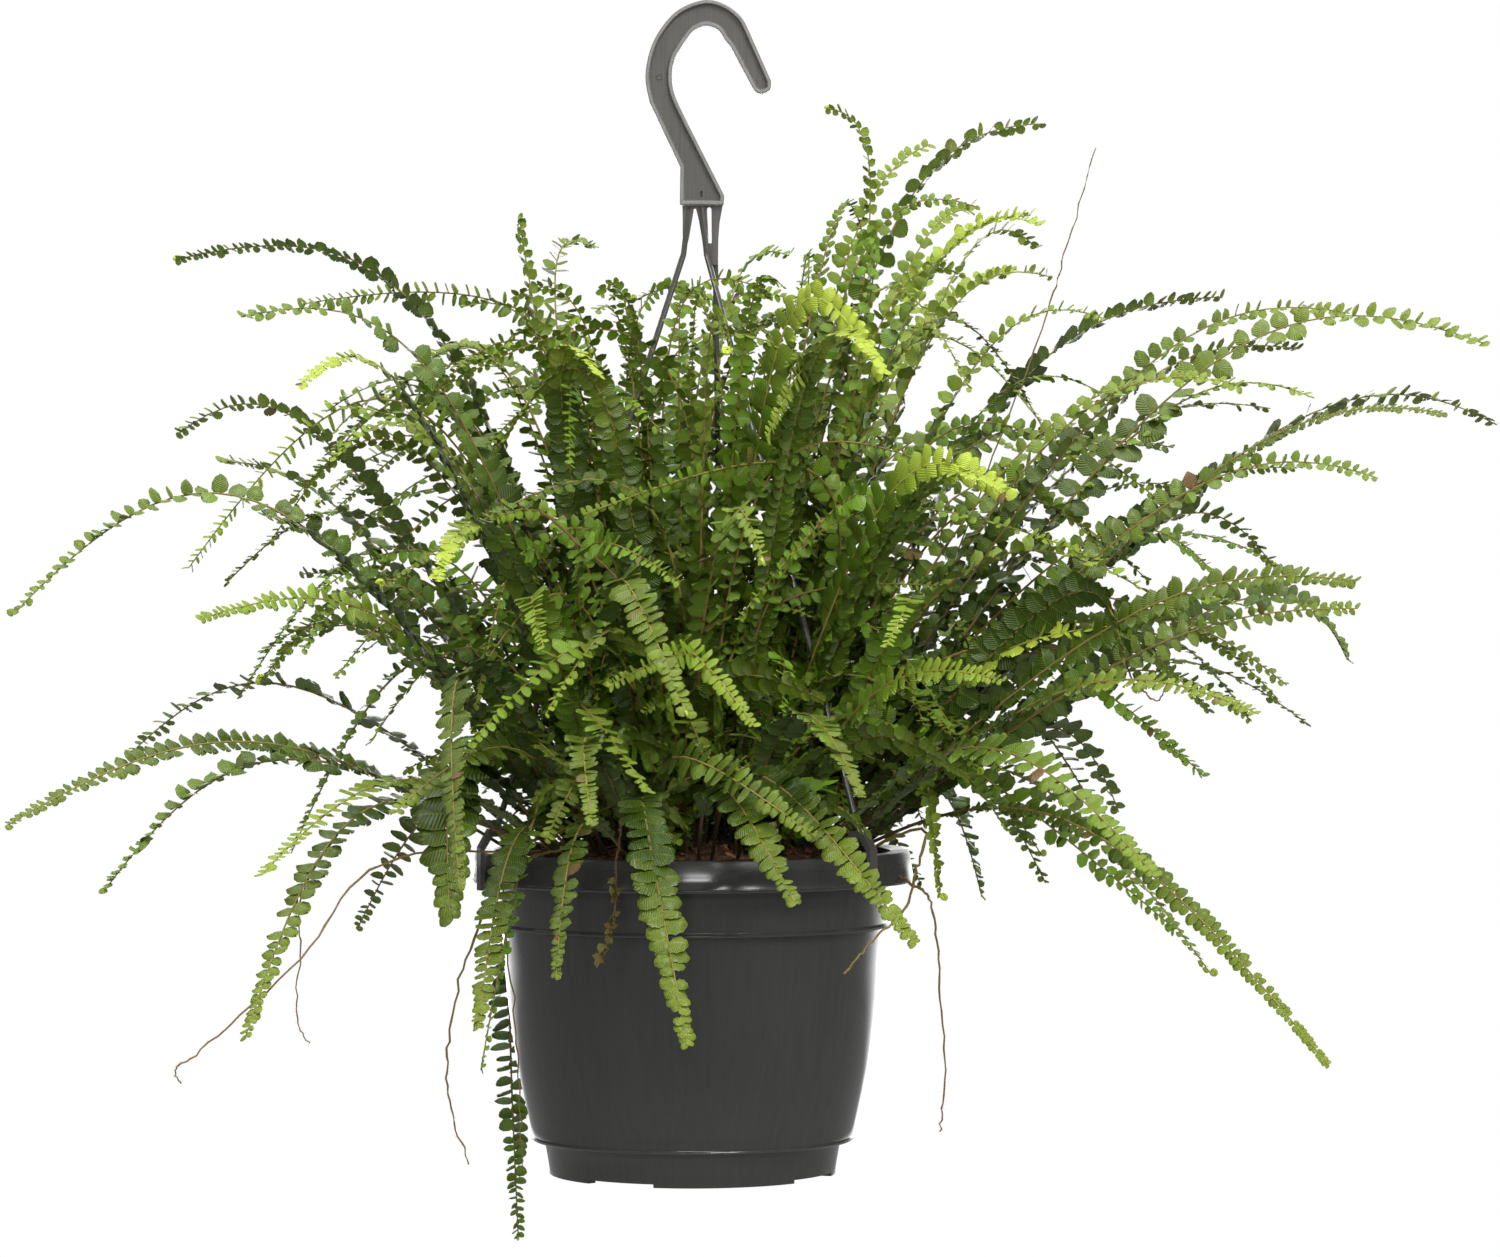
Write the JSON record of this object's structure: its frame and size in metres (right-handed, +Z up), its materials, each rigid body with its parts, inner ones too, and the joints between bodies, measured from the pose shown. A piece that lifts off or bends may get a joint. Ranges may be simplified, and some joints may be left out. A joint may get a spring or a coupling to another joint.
{
  "type": "potted button fern",
  "caption": "Bushy button fern with arching fronds of small round leaflets in a round hanging pot with a hook hanger.",
  "frame": {"origin": "top of the inside of the hook's crook, the point that rests on the rod, rail or ceiling hook that carries the plant", "axes": "+Z up, -Y towards the viewer of the picture (the front), +X to the right as seen from the front; the hook lies in the XZ plane"},
  "size_m": [0.6159, 0.413, 0.5153],
  "materials": {
    "pot_plastic": "glossy anthracite moulded plastic",
    "hook_plastic": "satin dark grey moulded plastic",
    "strand_plastic": "satin dark grey moulded plastic",
    "peat": "loose dark brown peat",
    "frond_green": "satin mid green leaf",
    "tuft_green": "satin dark green leaf"
  },
  "bodies": {
    "root": {"hook": "hook_plastic", "strand_left": "strand_plastic", "strand_right": "strand_plastic", "strand_back": "strand_plastic", "pot": "pot_plastic", "soil": "peat", "frond_01": "frond_green", "frond_02": "frond_green", "frond_03": "frond_green", "frond_04": "frond_green", "frond_05": "frond_green", "frond_06": "frond_green", "frond_07": "frond_green", "frond_08": "frond_green", "frond_09": "frond_green", "frond_10": "frond_green", "frond_11": "frond_green", "frond_12": "frond_green", "frond_13": "frond_green", "frond_14": "frond_green", "frond_15": "frond_green", "frond_16": "frond_green", "frond_17": "frond_green", "frond_18": "frond_green", "frond_19": "frond_green", "frond_20": "frond_green", "frond_21": "frond_green", "frond_22": "frond_green", "frond_23": "frond_green", "frond_24": "frond_green", "frond_25": "frond_green", "frond_26": "frond_green", "frond_27": "frond_green", "frond_28": "frond_green", "frond_29": "frond_green", "frond_30": "frond_green", "frond_31": "frond_green", "frond_32": "frond_green", "frond_33": "frond_green", "frond_34": "frond_green", "frond_35": "frond_green", "frond_36": "frond_green", "frond_37": "frond_green", "frond_38": "frond_green", "frond_39": "frond_green", "frond_40": "frond_green", "frond_41": "frond_green", "frond_42": "frond_green", "frond_43": "frond_green", "frond_44": "frond_green", "frond_45": "frond_green", "frond_46": "frond_green", "frond_47": "frond_green", "frond_48": "frond_green", "frond_49": "frond_green", "frond_50": "frond_green", "tuft_back_left": "tuft_green", "tuft_back_right": "tuft_green", "tuft_back": "tuft_green", "tuft_heart": "tuft_green"}
  },
  "joints": []
}
